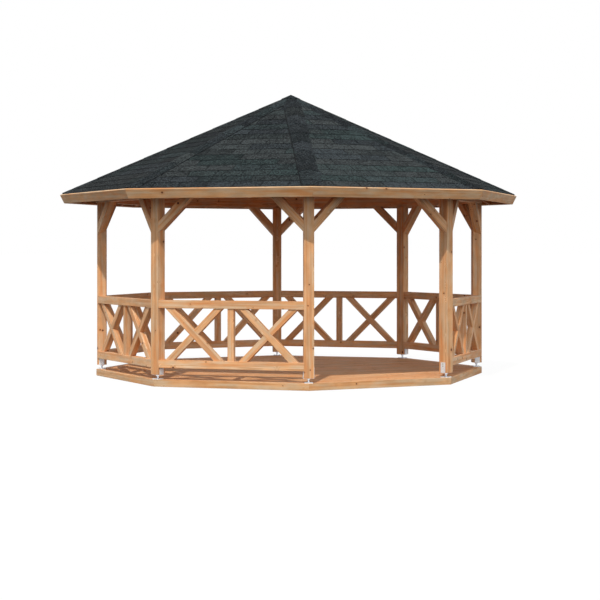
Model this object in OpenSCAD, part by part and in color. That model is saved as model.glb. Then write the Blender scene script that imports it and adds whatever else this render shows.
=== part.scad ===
// Eight-sided garden gazebo, in millimetres. A low timber deck carries eight square posts on steel
// shoes. Seven sides have a balustrade with two crosses, and the eighth is the open entrance. A mitred
// ring of eave beams, held square by knee braces, carries a pyramid roof with shingles.
// The origin is on the ground at the centre, +Z is up, and the entrance faces -Y.

/* [Plan] */
// Distance from the centre to the axis of each post
post_circle_r = 2450; // [1800:10:3200]

/* [Deck] */
// Height of the deck above the ground
deck_h = 85; // [70:1:200]
// Distance from the line between post axes out to the edge of the deck
deck_reach = 66; // [50:1:200]
// Thickness of the rim boards
rim_t = 28; // [18:1:45]
// Thickness of the floor
floor_t = 28; // [18:1:45]
// Width of a floor joist
joist_w = 70; // [40:1:100]
// Spacing of the floor joists, centre to centre, before it is evened out between the rims
joist_step = 560; // [300:10:800]

/* [Posts] */
// Width of a square post
post_w = 120; // [90:1:160]
// Gap between the deck and the foot of a post
post_lift = 57; // [40:1:120]
// Height of the post tops above the deck
post_top_h = 2148; // [1900:1:2600]

/* [Post shoes] */
// Width of the square base plate
plate_w = 100; // [80:1:120]
// Thickness of the base plate
plate_t = 8; // [4:1:15]
// Diameter of the threaded stem
stem_d = 24; // [16:1:36]
// Width of the nut under the cradle, across its corners
nut_d = 42; // [38:1:60]
// Height of the nut
nut_h = 14; // [8:1:20]
// Thickness of the cradle's steel
cradle_t = 5; // [3:0.5:8]
// Width of the cradle
cradle_w = 66; // [50:1:90]
// Height of the cradle's side plates above the foot of the post
cradle_h = 125; // [60:1:160]

/* [Balustrade] */
// Height of a rail
rail_h = 95; // [60:1:120]
// Thickness of a rail
rail_t = 95; // [72:1:100]
// Height of the top of the top rail above the deck
top_rail_h = 942; // [800:1:1100]
// Gap between the deck and the bottom rail
bottom_rail_gap = 139; // [80:1:200]
// Width of a cross bar
cross_w = 76; // [40:1:90]
// Thickness of a cross bar
cross_t = 70; // [40:1:70]
// Slope of the cross bars
cross_angle = 45; // [40:1:50]
// Width of the middle stile
stile_w = 76; // [40:1:100]
// Length of a tenon in a rail
tenon = 20; // [10:1:30]
// Play round a shoe's side plate in the end of a rail
plate_play = 1; // [0.5:0.1:3]

/* [Knee braces] */
// Width of a knee brace
brace_w = 95; // [60:1:120]
// Thickness of a knee brace
brace_t = 95; // [60:1:100]
// Length that a brace spans along the post and along the beam
brace_reach = 390; // [300:1:600]

/* [Eave beams] */
// Width of an eave beam
beam_w = 95; // [80:1:100]
// Height of an eave beam
beam_h = 190; // [120:1:240]

/* [Roof] */
// Slope of the roof
pitch = 25.2; // [20:0.1:35]
// Distance from the line between post axes out to the top edge of the fascia
eave_reach = 498; // [350:1:700]
// Height of the roof boards above the beam, at the beam's outer face
heel_h = 78; // [60:1:90]
// Thickness of the shingle covering
shingle_t = 6; // [4:1:12]
// Thickness of the roof boards
roof_board_t = 19; // [16:1:28]
// Depth of a rafter, square to the roof
rafter_h = 95; // [90:1:120]
// Width of a jack rafter
jack_w = 45; // [35:1:50]
// Spacing of the jack rafters on each side of the middle one
jack_step = 620; // [500:10:800]
// Width of a hip rafter
hip_w = 50; // [40:1:50]
// Distance across the flats of the hub
hub_w = 260; // [256:1:320]
// Length of the hub below the hip rafters
hub_drop = 60; // [20:1:150]
// Height of a fascia board
fascia_h = 120; // [100:1:160]
// Thickness of a fascia board
fascia_t = 28; // [18:1:40]
// Distance from the centre to the lower edge of the apex cap
cap_reach = 110; // [60:1:120]

/* [Hidden] */
SIDES = 8;
STEP = 360 / SIDES;
HALF = STEP / 2;
ENTRANCE = 1;
BALUSTRADES = [for (i = [1:SIDES]) if (i != ENTRANCE) i];

// Lines of the plan, as distances from the centre to the middle of a side
axis_x = post_circle_r * cos(HALF);
deck_x = axis_x + deck_reach;
eave_x = axis_x + eave_reach;
// Rails, braces and beams are centred on the posts' side faces
frame_x = axis_x + post_w / 2 * sin(HALF);
beam_out_x = frame_x + beam_w / 2;
hub_x = hub_w / 2;

// Heights above the ground
post_foot_z = deck_h + post_lift;
post_top_z = deck_h + post_top_h;
beam_top_z = post_top_z + beam_h;
bottom_rail_z = deck_h + bottom_rail_gap;
top_rail_z = deck_h + top_rail_h - rail_h;
panel_gap = top_rail_z - bottom_rail_z - rail_h;
panel_mid_z = bottom_rail_z + rail_h + panel_gap / 2;

// The covering is everything above the rafters, measured square to the roof
cover_t = shingle_t + roof_board_t;
boards_tip_z = beam_top_z + heel_h + beam_out_x * tan(pitch);
apex_z = boards_tip_z + cover_t / cos(pitch);
eave_s = eave_x / cos(pitch);
rafter_drop = rafter_h / cos(pitch);
hip_slope = tan(pitch) * cos(HALF);

// A length past the edge of everything, for cutting
FAR = 2 * eave_x;

WOOD = "#c98f5c";
STEEL = "#c3c8cc";
SHINGLE = "#3b4245";

// Sides that are square to the axes, and the ones between them
SQUARE_SIDES = [for (i = [1:2:SIDES]) i];
DIAGONAL_SIDES = [for (i = [2:2:SIDES]) i];

// Half the width of a side's sector, less a margin kept clear along each corner line
function half_width(x, margin = 0) = x * tan(HALF) - margin / cos(HALF);

// Turns local +X to the middle of side i, so that local +Y runs to the right along it
module at_side(i) {
    rotate(STEP * (i - 1) - 90)
        children();
}

// Turns local +X to the corner at the left end of side i, where post i stands
module at_corner(i) {
    rotate(STEP * (i - 1) - 90 - HALF)
        children();
}

// Octagon with its flats square to the axes
module octagon(x) {
    rotate(HALF)
        circle(r = x / cos(HALF), $fn = SIDES);
}

// Plan of one side between two distances from the centre, mitred or clear of the corner lines
module sector(x_in, x_out, margin = 0) {
    y_in = half_width(x_in, margin);
    y_out = half_width(x_out, margin);
    polygon([[x_in, -y_in], [x_out, -y_out], [x_out, y_out], [x_in, y_in]]);
}

// A board of one side that stands upright, centred on a distance from the centre
module side_board(x, t, z, h, margin = 0) {
    translate([0, 0, z])
        linear_extrude(h)
            sector(x - t / 2, x + t / 2, margin);
}

// Local frame of a roof slope: +X runs down it from the tip, +Z is square to it
module on_slope() {
    translate([0, 0, apex_z])
        rotate([0, pitch, 0])
            children();
}

// A layer of one slope: it spans two depths below the shingles, and runs down to a slope length
module slope_layer(top, bottom, s_from, s_to, x_in, x_out) {
    intersection() {
        on_slope()
            translate([s_from, -FAR / 2, -bottom])
                cube([s_to - s_from, FAR, bottom - top]);
        linear_extrude(apex_z)
            sector(x_in, x_out);
    }
}

// Everything above the plane that lies at a depth below the shingles of one slope
module above_slope(depth) {
    on_slope()
        translate([-FAR, -FAR, -depth])
            cube([2 * FAR, 2 * FAR, FAR]);
}

// Children cut off at a depth below the shingles of all the slopes
module under_slopes(depth) {
    difference() {
        children();
        for (i = [1:SIDES])
            at_side(i)
                above_slope(depth);
    }
}

// Everything outside the inner face of a fascia board
module outside_fascia() {
    on_slope()
        translate([eave_s - fascia_t, -FAR, -FAR])
            cube([FAR, 2 * FAR, 2 * FAR]);
}

module post(i) {
    color(WOOD)
        at_corner(i)
            translate([post_circle_r - post_w / 2, -post_w / 2, post_foot_z])
                cube([post_w, post_w, post_top_z - post_foot_z]);
}

// Side plate of a shoe on one face of a post, with play all round it but not at the post
module shoe_side_plate(face, play = 0) {
    plate_z = post_foot_z - cradle_t;
    mirror([0, face < 0 ? 1 : 0, 0])
        translate([post_circle_r - cradle_w / 2 - play, post_w / 2, plate_z])
            cube([cradle_w + 2 * play, cradle_t + play, cradle_t + cradle_h + play]);
}

module post_shoe(i) {
    cradle_z = post_foot_z - cradle_t;
    color(STEEL)
        at_corner(i) {
            translate([post_circle_r - plate_w / 2, -plate_w / 2, deck_h])
                cube([plate_w, plate_w, plate_t]);
            translate([post_circle_r, 0, deck_h])
                cylinder(h = cradle_z - deck_h, d = stem_d, $fn = 32);
            translate([post_circle_r, 0, cradle_z - nut_h])
                cylinder(h = nut_h, d = nut_d, $fn = 6);
            translate([post_circle_r - cradle_w / 2, -post_w / 2 - cradle_t, cradle_z])
                cube([cradle_w, post_w + 2 * cradle_t, cradle_t]);
            for (face = [-1, 1])
                shoe_side_plate(face);
        }
}

// Rail between two posts, with its ends cut to the posts' faces
module rail(z) {
    side_board(frame_x, rail_t, z, rail_h, margin = post_w / 2);
}

// Two crossed bars, half-lapped, tenoned into both rails
module cross_bars(y) {
    bar_l = (panel_gap + 2 * rail_h) / sin(cross_angle);
    intersection() {
        translate([frame_x, y, panel_mid_z])
            for (lean = [-1, 1])
                rotate([lean * (90 - cross_angle), 0, 0])
                    cube([cross_t, cross_w, bar_l], center = true);
        translate([frame_x - rail_t / 2, -FAR / 2, panel_mid_z - panel_gap / 2 - tenon])
            cube([rail_t, FAR, panel_gap + 2 * tenon]);
    }
}

module middle_stile() {
    translate([frame_x, 0, panel_mid_z])
        cube([cross_t, stile_w, panel_gap + 2 * tenon], center = true);
}

module balustrade(i) {
    bay_mid = (stile_w / 2 + half_width(frame_x, post_w / 2)) / 2;
    color(WOOD)
        at_side(i)
            difference() {
                union() {
                    rail(bottom_rail_z);
                    rail(top_rail_z);
                    middle_stile();
                    for (y = [-bay_mid, bay_mid])
                        cross_bars(y);
                }
                for (end = [-1, 1])
                    rotate(end * HALF)
                        shoe_side_plate(-end, plate_play);
            }
}

// Brace at the right-hand post of a side, cut to the post's face and to the beam
module knee_brace() {
    cut_w = brace_w * sqrt(2);
    past_face = brace_t;
    low_z = post_top_z - brace_reach - past_face;
    intersection() {
        translate([frame_x - brace_t / 2, half_width(frame_x, post_w / 2), 0])
            rotate([90, 0, 90])
                linear_extrude(brace_t)
                    polygon([
                        [past_face, low_z],
                        [past_face, low_z + cut_w],
                        [cut_w - brace_reach, post_top_z],
                        [-brace_reach, post_top_z]
                    ]);
        side_board(frame_x, brace_t, 0, post_top_z, margin = post_w / 2);
    }
}

module knee_braces_right() {
    color(WOOD)
        for (i = [1:SIDES])
            at_side(i)
                knee_brace();
}

module knee_braces_left() {
    color(WOOD)
        for (i = [1:SIDES])
            at_side(i)
                mirror([0, 1, 0])
                    knee_brace();
}

module eave_beam() {
    side_board(frame_x, beam_w, post_top_z, beam_h);
}

module eave_beams(sides) {
    color(WOOD)
        for (i = sides)
            at_side(i)
                eave_beam();
}

module fascia(sides) {
    color(WOOD)
        for (i = sides)
            at_side(i)
                slope_layer(0, fascia_h, eave_s - fascia_t, eave_s, 0, FAR);
}

module deck_rim(sides) {
    color(WOOD)
        for (i = sides)
            at_side(i)
                side_board(deck_x - rim_t / 2, rim_t, 0, deck_h);
}

module deck_floor() {
    color(WOOD)
        translate([0, 0, deck_h - floor_t])
            linear_extrude(floor_t)
                octagon(deck_x - rim_t);
}

module floor_joists() {
    inner_x = deck_x - rim_t;
    outer_joist_x = inner_x - joist_w / 2;
    bays = round(outer_joist_x / joist_step);
    color(WOOD)
        linear_extrude(deck_h - floor_t)
            intersection() {
                octagon(inner_x);
                for (k = [-bays:bays])
                    translate([k * outer_joist_x / bays - joist_w / 2, -FAR / 2])
                        square([joist_w, FAR]);
            }
}

// Hip rafter on local +X: its top is backed to both slopes, and it is notched over two beams
module hip_rafter() {
    function low_z(r) = boards_tip_z - hip_slope * r - rafter_drop;
    difference() {
        rotate([90, 0, 0])
            linear_extrude(hip_w, center = true)
                polygon([
                    [hub_x, low_z(hub_x)],
                    [FAR, low_z(FAR)],
                    [FAR, boards_tip_z],
                    [hub_x, boards_tip_z]
                ]);
        for (turn = [-HALF, HALF])
            rotate(turn) {
                above_slope(cover_t);
                outside_fascia();
                eave_beam();
            }
    }
}

module hip_rafters() {
    color(WOOD)
        for (i = [1:SIDES])
            at_corner(i)
                hip_rafter();
}

// Jack rafters of one side: cheek cuts on the hips, and notches over the beam
module side_jacks() {
    difference() {
        intersection() {
            for (k = [-1:1])
                on_slope()
                    translate([0, k * jack_step - jack_w / 2, -cover_t - rafter_h])
                        cube([eave_s - fascia_t, jack_w, rafter_h]);
            linear_extrude(apex_z)
                sector(hub_x, FAR, margin = hip_w / 2);
        }
        eave_beam();
    }
}

module jack_rafters() {
    color(WOOD)
        for (i = [1:SIDES])
            at_side(i)
                side_jacks();
}

// Block at the top with one flat face for each hip and each middle rafter
module roof_hub() {
    faces = 2 * SIDES;
    half_face = 180 / faces;
    low_z = boards_tip_z - hip_slope * hub_x - rafter_drop - hub_drop;
    color(WOOD)
        under_slopes(cover_t)
            translate([0, 0, low_z])
                linear_extrude(apex_z - low_z)
                    polygon([
                        for (k = [1:faces])
                            hub_x / cos(half_face) * [cos((2 * k + 1) * half_face), sin((2 * k + 1) * half_face)]
                    ]);
}

module roof_boards(sides) {
    color(WOOD)
        for (i = sides)
            at_side(i)
                slope_layer(shingle_t, cover_t, 0, eave_s - fascia_t, cap_reach, FAR);
}

module shingles(sides) {
    color(SHINGLE)
        for (i = sides)
            at_side(i)
                slope_layer(0, shingle_t, 0, eave_s - fascia_t, cap_reach, FAR);
}

module apex_cap() {
    color(SHINGLE)
        difference() {
            under_slopes(0)
                linear_extrude(apex_z)
                    octagon(cap_reach);
            under_slopes(cover_t)
                linear_extrude(apex_z)
                    octagon(2 * cap_reach);
        }
}

for (i = [1:SIDES]) {
    post(i);
    post_shoe(i);
}
for (i = BALUSTRADES)
    balustrade(i);
knee_braces_left();
knee_braces_right();
eave_beams(SQUARE_SIDES);  // eave_beams_square
eave_beams(DIAGONAL_SIDES);  // eave_beams_diagonal
fascia(SQUARE_SIDES);  // fascia_square
fascia(DIAGONAL_SIDES);  // fascia_diagonal
deck_rim(SQUARE_SIDES);  // deck_rim_square
deck_rim(DIAGONAL_SIDES);  // deck_rim_diagonal
roof_boards(SQUARE_SIDES);  // roof_boards_square
roof_boards(DIAGONAL_SIDES);  // roof_boards_diagonal
shingles(SQUARE_SIDES);  // shingles_square
shingles(DIAGONAL_SIDES);  // shingles_diagonal
deck_floor();
floor_joists();
hip_rafters();
jack_rafters();
roof_hub();
apex_cap();
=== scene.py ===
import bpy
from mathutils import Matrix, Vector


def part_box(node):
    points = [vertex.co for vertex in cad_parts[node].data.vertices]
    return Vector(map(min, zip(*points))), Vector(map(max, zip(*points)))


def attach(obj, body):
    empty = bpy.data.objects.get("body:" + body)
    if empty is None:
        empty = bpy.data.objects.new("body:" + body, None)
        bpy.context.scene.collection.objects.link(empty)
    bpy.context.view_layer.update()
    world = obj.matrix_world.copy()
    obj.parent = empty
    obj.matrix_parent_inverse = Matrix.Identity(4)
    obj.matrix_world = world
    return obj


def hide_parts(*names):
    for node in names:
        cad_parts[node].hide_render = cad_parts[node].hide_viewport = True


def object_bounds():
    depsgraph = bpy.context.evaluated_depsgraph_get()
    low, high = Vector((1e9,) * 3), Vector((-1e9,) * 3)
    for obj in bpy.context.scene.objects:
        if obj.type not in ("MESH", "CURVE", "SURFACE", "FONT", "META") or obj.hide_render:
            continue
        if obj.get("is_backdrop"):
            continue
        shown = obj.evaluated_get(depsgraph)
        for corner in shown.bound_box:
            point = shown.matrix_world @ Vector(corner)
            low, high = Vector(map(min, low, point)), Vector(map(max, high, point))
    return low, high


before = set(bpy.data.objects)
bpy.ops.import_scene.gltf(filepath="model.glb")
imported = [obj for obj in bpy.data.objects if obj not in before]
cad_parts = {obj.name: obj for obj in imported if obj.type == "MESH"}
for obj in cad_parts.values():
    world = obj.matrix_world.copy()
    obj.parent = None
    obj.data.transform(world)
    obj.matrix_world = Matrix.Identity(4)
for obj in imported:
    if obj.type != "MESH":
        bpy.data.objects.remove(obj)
cad_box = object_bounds()
print(len(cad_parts), "nodes in the frame")

# %% [markdown]
# This lesson dresses an eight-sided garden gazebo. The frame already holds every piece at its real size
# and in its real place. What it lacks is what the carpenter, the roofer and the smith leave behind:
# single boards, eased edges, growth rings, mineral felt, zinc and screws. All sizes here are in metres.
#
# The sizes could be typed in again, but then they could drift apart from the frame. Most of them are read
# from the boxes of its nodes. The sides 1, 3, 5 and 7 are square to the axes, so their boxes give true
# reaches. What no box gives, such as the section of a bar, is named where it is first needed.

# %% Sizes read from the frame
import random
from math import atan, ceil, copysign, cos, pi, radians, sin, sqrt, tan, tau

import bmesh
import bpy
from mathutils import Matrix, Vector

scene = bpy.context.scene
SIDES = range(1, 9)
SQUARE_SIDES = (1, 3, 5, 7)
DIAGONAL_SIDES = (2, 4, 6, 8)
ENTRANCE = 1
STEP = radians(45)
HALF = STEP / 2

floor_low, floor_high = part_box("deck_floor")
rim_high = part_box("deck_rim_square")[1]
post_low, post_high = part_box("post_1")
panel_low, panel_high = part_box("balustrade_3")
beam_low, beam_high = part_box("eave_beams_square")
eave_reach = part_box("fascia_square")[1].x
cap_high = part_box("apex_cap")[1]

deck_top = floor_high.z
post_width = (post_high.x - post_low.x) / (cos(HALF) + sin(HALF))
post_reach = ((post_low + post_high) / 2).xy.length
panel_reach = (panel_low.x + panel_high.x) / 2
apex = cap_high.z
print(f"posts {post_width:.3f} wide, {post_reach:.3f} from the centre; the tip is {apex:.3f} up")

# %% [markdown]
# Eight equal sides ask for two turning frames. One turns +X to the middle of a side, the other to a
# corner. Everything is modelled once on +X and then turned to its place, so nothing has to be worked out
# eight times.

# %% Frames of the sides, corners and roof slopes
PITCH = radians(25.2)


def side(i):
    """Turns +X to the middle of side i, with +Y to the right for someone who stands outside."""
    return Matrix.Rotation(STEP * (i - 1) - radians(90), 4, "Z")


def corner(i):
    """Turns +X to the corner at the left end of side i, where post i stands."""
    return side(i) @ Matrix.Rotation(-HALF, 4, "Z")


SLOPE = Matrix.Translation((0, 0, apex)) @ Matrix.Rotation(PITCH, 4, "Y")
eave_length = eave_reach / cos(PITCH)
print(f"a slope is {eave_length:.3f} long from the tip to the eave")

# %% [markdown]
# The picture was taken from standing height and from far away, and all its posts are upright. A level
# camera gives that. Its lens shift then slides the picture down, as on an architect's camera, so that no
# post leans.

# %% Camera
EYE = (-9.687, -18.801, 1.627)
EYE_AZIMUTH = -27.26
SENSOR = 36
LENS = 97.29
SLIDE_RIGHT = 0.015
SLIDE_UP = -0.0843


def put(name, data):
    """Adds an object to the scene."""
    made = bpy.data.objects.new(name, data)
    scene.collection.objects.link(made)
    return made


camera = put("camera", bpy.data.cameras.new("camera"))
camera.location = EYE
camera.rotation_euler = (radians(90), 0, radians(EYE_AZIMUTH))
camera.data.sensor_width = SENSOR
camera.data.lens = LENS
camera.data.shift_x = SLIDE_RIGHT
camera.data.shift_y = SLIDE_UP
scene.camera = camera
print(f"camera {camera.location.length:.1f} m from the centre")

# %% [markdown]
# A node tree is easier to read as sums than as wires. Tap wraps one socket, and adding, multiplying or
# dividing it adds the Math node that does so. Each operator has a reflected form, for sums that start
# with a plain number. Tree has one method for every other node: its type, its settings, and what goes
# into its sockets.

# %% Node trees written as sums


def sum_node(operation):
    """The method for an operator that adds a Math node, and its reflected form."""
    def forward(self, other):
        return self.tree.node("ShaderNodeMath", {"operation": operation}, {0: self, 1: other})

    def reflected(self, other):
        return self.tree.node("ShaderNodeMath", {"operation": operation}, {0: other, 1: self})

    return forward, reflected


class Tap:
    """A socket that can be used in sums."""

    __add__, __radd__ = sum_node("ADD")
    __sub__, __rsub__ = sum_node("SUBTRACT")
    __mul__, __rmul__ = sum_node("MULTIPLY")
    __truediv__, __rtruediv__ = sum_node("DIVIDE")
    __pow__, __rpow__ = sum_node("POWER")
    __mod__, __rmod__ = sum_node("MODULO")

    def __init__(self, tree, socket):
        self.tree = tree
        self.socket = socket


class Tree:
    """The nodes of a material or a world."""

    def __init__(self, owner):
        owner.use_nodes = True
        self.owner = owner
        self.nodes = owner.node_tree.nodes
        self.links = owner.node_tree.links

    def node(self, kind, settings=None, sockets=None, out=0):
        """Adds a node, sets and wires it, and gives the output out, or one for each name in a tuple."""
        made = self.nodes.new(kind)
        for name, value in (settings or {}).items():
            setattr(made, name, value)
        self.wire(made, sockets or {})
        if isinstance(out, tuple):
            return [Tap(self, made.outputs[name]) for name in out]
        return Tap(self, made.outputs[out])

    def wire(self, node, sockets):
        for key, value in sockets.items():
            if isinstance(value, Tap):
                self.links.new(value.socket, node.inputs[key])
            else:
                node.inputs[key].default_value = value

    def skin(self, **sockets):
        """Sets or wires the sockets of the Principled shader, named with _ for each space."""
        named = {name.replace("_", " "): value for name, value in sockets.items()}
        self.wire(self.nodes["Principled BSDF"], named)

    def attribute(self, name, out):
        return self.node("ShaderNodeAttribute", {"attribute_name": name}, out=out)

    def stretch(self, vector, factors):
        return self.node("ShaderNodeVectorMath", {"operation": "MULTIPLY"}, {0: vector, 1: factors})

    def noise(self, vector, scale, detail):
        return self.node("ShaderNodeTexNoise", None, {"Vector": vector, "Scale": scale, "Detail": detail})

    def fade(self, value, start, end):
        """Goes smoothly from 0 at start to 1 at end."""
        sockets = {"Value": value, "From Min": start, "From Max": end}
        return self.node("ShaderNodeMapRange", {"interpolation_type": "SMOOTHSTEP"}, sockets)

    def mix(self, factor, first, second, blend="MIX"):
        settings = {"data_type": "RGBA", "blend_type": blend}
        return self.node("ShaderNodeMix", settings, {0: factor, 6: first, 7: second}, out=2)

    def bump(self, height, distance, strength):
        sockets = {"Height": height, "Distance": distance, "Strength": strength}
        return self.node("ShaderNodeBump", None, sockets)


def paint(red, green, blue):
    """A colour as it is read from a screen, 0 to 255, as the linear colour that a shader takes."""
    def linear(level):
        level /= 255
        return level / 12.92 if level <= 0.04045 else ((level + 0.055) / 1.055) ** 2.4
    return (linear(red), linear(green), linear(blue), 1)


print("ready to write node trees")

# %% [markdown]
# The light is that of a clear noon. A sun stands behind the camera and a little to its left, and an even
# sky fills the shade with cooler light. Under a roof that is not enough: outdoors the haze above the
# horizon is bright and shines in between the posts. A second lamp stands for it, low in front and with a
# very wide disc. To the camera the sky is plain white, which Light Path sorts out: the rays that light
# the wood don't see it.

# %% Sun, haze and sky
SKY_FILL = 0.87
SKY_COLOUR = (0.90, 0.96, 0.97, 1)
WHITE = (1, 1, 1, 1)

scene.view_settings.view_transform = "Standard"


def far_lamp(name, azimuth, height, width, energy, colour):
    """A lamp as far off as the sun, with its angles in degrees. Azimuth 0 is in front of the entrance."""
    lamp = put(name, bpy.data.lights.new(name, "SUN"))
    lamp.data.energy = energy
    lamp.data.color = colour
    lamp.data.angle = radians(width)
    turn = radians(azimuth)
    rise = radians(height)
    towards = Vector((sin(turn) * cos(rise), -cos(turn) * cos(rise), sin(rise)))
    lamp.rotation_euler = towards.to_track_quat("Z", "Y").to_euler()
    print(name, [round(x, 2) for x in towards])


def seen_by_eye(tree):
    """1 for rays from the camera, and for those that a mirror or glass sends on, else 0."""
    rays = tree.node("ShaderNodeLightPath", out=("Is Camera Ray", "Is Glossy Ray", "Is Transmission Ray"))
    return rays[0] + rays[1] + rays[2]


far_lamp("sun", azimuth=-37.5, height=52, width=1.2, energy=2.60, colour=(0.96, 0.90, 0.78))
far_lamp("haze", azimuth=-5, height=5, width=30, energy=0.48, colour=(1, 0.95, 0.84))
scene.world = bpy.data.worlds.new("sky")
sky = Tree(scene.world)
fill = sky.node("ShaderNodeBackground", None, {"Color": SKY_COLOUR, "Strength": SKY_FILL})
backdrop = sky.node("ShaderNodeBackground", None, {"Color": WHITE, "Strength": 1.0})
either = sky.node("ShaderNodeMixShader", None, {0: seen_by_eye(sky), 1: fill, 2: backdrop})
sky.wire(sky.nodes["World Output"], {"Surface": either})

# %% [markdown]
# A pale studio floor catches the shadow. A white one would throw so much light up that the shade under
# the eaves would be lost, so the floor that lights the object is grey. The floor that the camera sees is
# mostly a white glow, with so little matt white in it that hardly a shadow is left.

# %% Floor
GLOW = 0.95
GROUND = paint(84, 84, 84)
FLOOR_REACH = 400

studio = Tree(bpy.data.materials.new("studio_floor"))
ground = studio.node("ShaderNodeBsdfDiffuse", None, {"Color": GROUND})
matt = studio.node("ShaderNodeBsdfDiffuse", None, {"Color": WHITE})
glow = studio.node("ShaderNodeEmission", None, {"Color": WHITE, "Strength": 1.0})
seen = studio.node("ShaderNodeMixShader", None, {0: GLOW, 1: matt, 2: glow})
either = studio.node("ShaderNodeMixShader", None, {0: seen_by_eye(studio), 1: ground, 2: seen})
studio.wire(studio.nodes["Material Output"], {"Surface": either})

floor_mesh = bpy.data.meshes.new("floor")
bm = bmesh.new()
bmesh.ops.create_grid(bm, x_segments=1, y_segments=1, size=FLOOR_REACH)
bm.to_mesh(floor_mesh)
bm.free()
floor_mesh.materials.append(studio.owner)
floor = put("floor", floor_mesh)
floor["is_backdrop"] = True
print("floor laid")

# %% [markdown]
# The gazebo is made of planed spruce under a clear honey-brown stain. Real wood is solid through and
# through: rings circle the heart of the tree, so they show as arcs on a sawn end and as long lines on a
# face. A flat pattern can't do that. So each timber will carry its own coordinates in an attribute called
# grain, with +X along the trunk and the heart of the tree at Y = Z = 0, and the finish is cut out of that
# space like the timber is cut out of the trunk. Another attribute, tone, tells one timber from the next.
#
# Every noise in it is stretched along the trunk, because a tree grows that way. Streaks are warm, clouds
# make patches paler or darker, and sap turns the stain cooler or warmer. Where a branch grew there is a
# knot, and the rings swirl round it. Frame, rim and deck took the stain differently. The fascia and the
# roof boards stay in shade, and their woods are darker than the frame's: painted shade. So there are five.

# %% Wood finish
RING = 0.0075
WANDER = 0.035
SMALL_KNOT = 0.005
BIG_KNOT = 0.019
KNOT_FRAY = 0.008
SWIRL_REACH = 0.06
SWIRL = 0.014
KNOTS_PER_METRE = Vector((4, 13, 13))
FRAYS_PER_METRE = (50, 120, 120)
BENDS_PER_METRE = (0.7, 5, 5)
STREAKS_PER_METRE = (0.9, 30, 30)
FIBRES_PER_METRE = (8, 620, 620)
CLOUDS_PER_METRE = (5, 13, 13)
SAP_PER_METRE = (3.5, 19, 19)
KNOT = paint(80, 40, 23)
KNOT_CORE = paint(128, 74, 42)
DARKER = (0.84, 0.81, 0.77, 1)
PALER = (1.10, 1.12, 1.15, 1)
WARMER = (1.06, 0.93, 0.79, 1)
COOLER = (0.95, 1.06, 1.20, 1)


def wood(name, early, late, flush):
    """A stained softwood: pale early wood, darker late wood, warm streaks and dark knots."""
    tree = Tree(bpy.data.materials.new(name))
    grain = tree.attribute("grain", "Vector")
    tone = tree.attribute("tone", "Fac")

    def patches(per_metre, detail):
        return tree.noise(tree.stretch(grain, per_metre), 1, detail)

    cells = {"Vector": tree.stretch(grain, KNOTS_PER_METRE), "Scale": 1}
    place, chance = tree.node("ShaderNodeTexVoronoi", None, cells, ("Position", "Color"))
    middle = tree.stretch(place, [1 / rate for rate in KNOTS_PER_METRE])
    gap = tree.node("ShaderNodeVectorMath", {"operation": "DISTANCE"}, {0: grain, 1: middle}, "Value")
    gap = gap + (patches(FRAYS_PER_METRE, 1) - 0.5) * KNOT_FRAY
    luck = tree.node("ShaderNodeSeparateColor", None, {"Color": chance}, "Red")
    knot_size = luck ** 2 * (BIG_KNOT - SMALL_KNOT) + SMALL_KNOT

    y, z = tree.node("ShaderNodeSeparateXYZ", None, {"Vector": grain}, ("Y", "Z"))
    swirl = tree.fade(gap, SWIRL_REACH, 0)
    from_heart = (y * y + z * z) ** 0.5 + patches(BENDS_PER_METRE, 2) * WANDER + swirl * swirl * SWIRL
    ring = from_heart / RING % 1
    late_wood = tree.fade(ring, 0.35, 0.94) * tree.fade(ring, 1, 0.94)
    streak = tree.fade(patches(STREAKS_PER_METRE, 3), 0.42, 0.68)
    fibre = patches(FIBRES_PER_METRE, 2)
    cloud = tree.fade(patches(CLOUDS_PER_METRE, 3), 0.3, 0.7)
    sap = tree.fade(patches(SAP_PER_METRE, 3), 0.33, 0.67)

    colour = tree.mix(late_wood * 0.85 + fibre * 0.3, early, late)
    colour = tree.mix(streak, colour, flush)
    colour = tree.mix(tree.fade(gap, knot_size * 2.8, knot_size * 0.8) * 0.65, colour, flush)
    branch = tree.mix(tree.fade(gap, 0, knot_size * 0.7), KNOT_CORE, KNOT)
    colour = tree.mix(tree.fade(gap, knot_size, knot_size * 0.7) * 0.92, colour, branch)
    shade = tree.mix(tone * 0.45 + cloud * 0.55, DARKER, PALER)
    colour = tree.mix(1, colour, shade, "MULTIPLY")
    colour = tree.mix(1, colour, tree.mix(sap, WARMER, COOLER), "MULTIPLY")

    tree.skin(
        Base_Color=colour,
        Roughness=fibre * 0.2 + 0.58,
        Normal=tree.bump(fibre * 0.5 + late_wood * 0.6, 0.0007, 0.5),
        Specular_IOR_Level=0.3,
    )
    return tree.owner


FRAME_WOOD = wood("stained_frame_timber", paint(234, 193, 154), paint(202, 151, 108), paint(210, 150, 103))
# Painted shade: the fascia, which stays in shade, gets a darker copy of the frame's stain.
FASCIA_WOOD_PAINTED_SHADE = wood("fascia_timber_painted_shade", paint(221, 183, 145), paint(189, 143, 102), paint(197, 143, 98))
RIM_WOOD = wood("stained_rim_timber", paint(230, 192, 153), paint(198, 151, 110), paint(201, 150, 105))
DECK_WOOD = wood("stained_deck_timber", paint(236, 188, 141), paint(204, 148, 100), paint(213, 145, 95))
# Painted shade: the roof boards, seen only from below in shade, get a darker and redder stain.
ROOF_WOOD_PAINTED_SHADE = wood("roof_timber_painted_shade", paint(196, 136, 88), paint(164, 98, 55), paint(166, 91, 46))
print("five woods: frame, fascia, rim, deck and roof")

# %% [markdown]
# The roof is covered with bitumen felt that is strewn with crushed slate. The grains are about 1.5 mm
# wide, and a Voronoi pattern gives each of them a random number. Whether a grain is dark or pale depends
# on that number and on how many pale ones there are just there: a noise of a few centimetres gathers them
# in clumps, which is what the eye sees from afar. Each tab comes from another place on the roll: its
# attribute tone says how many grains are pale there, and tint whether the slate is more blue, green or
# grey.

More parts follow.
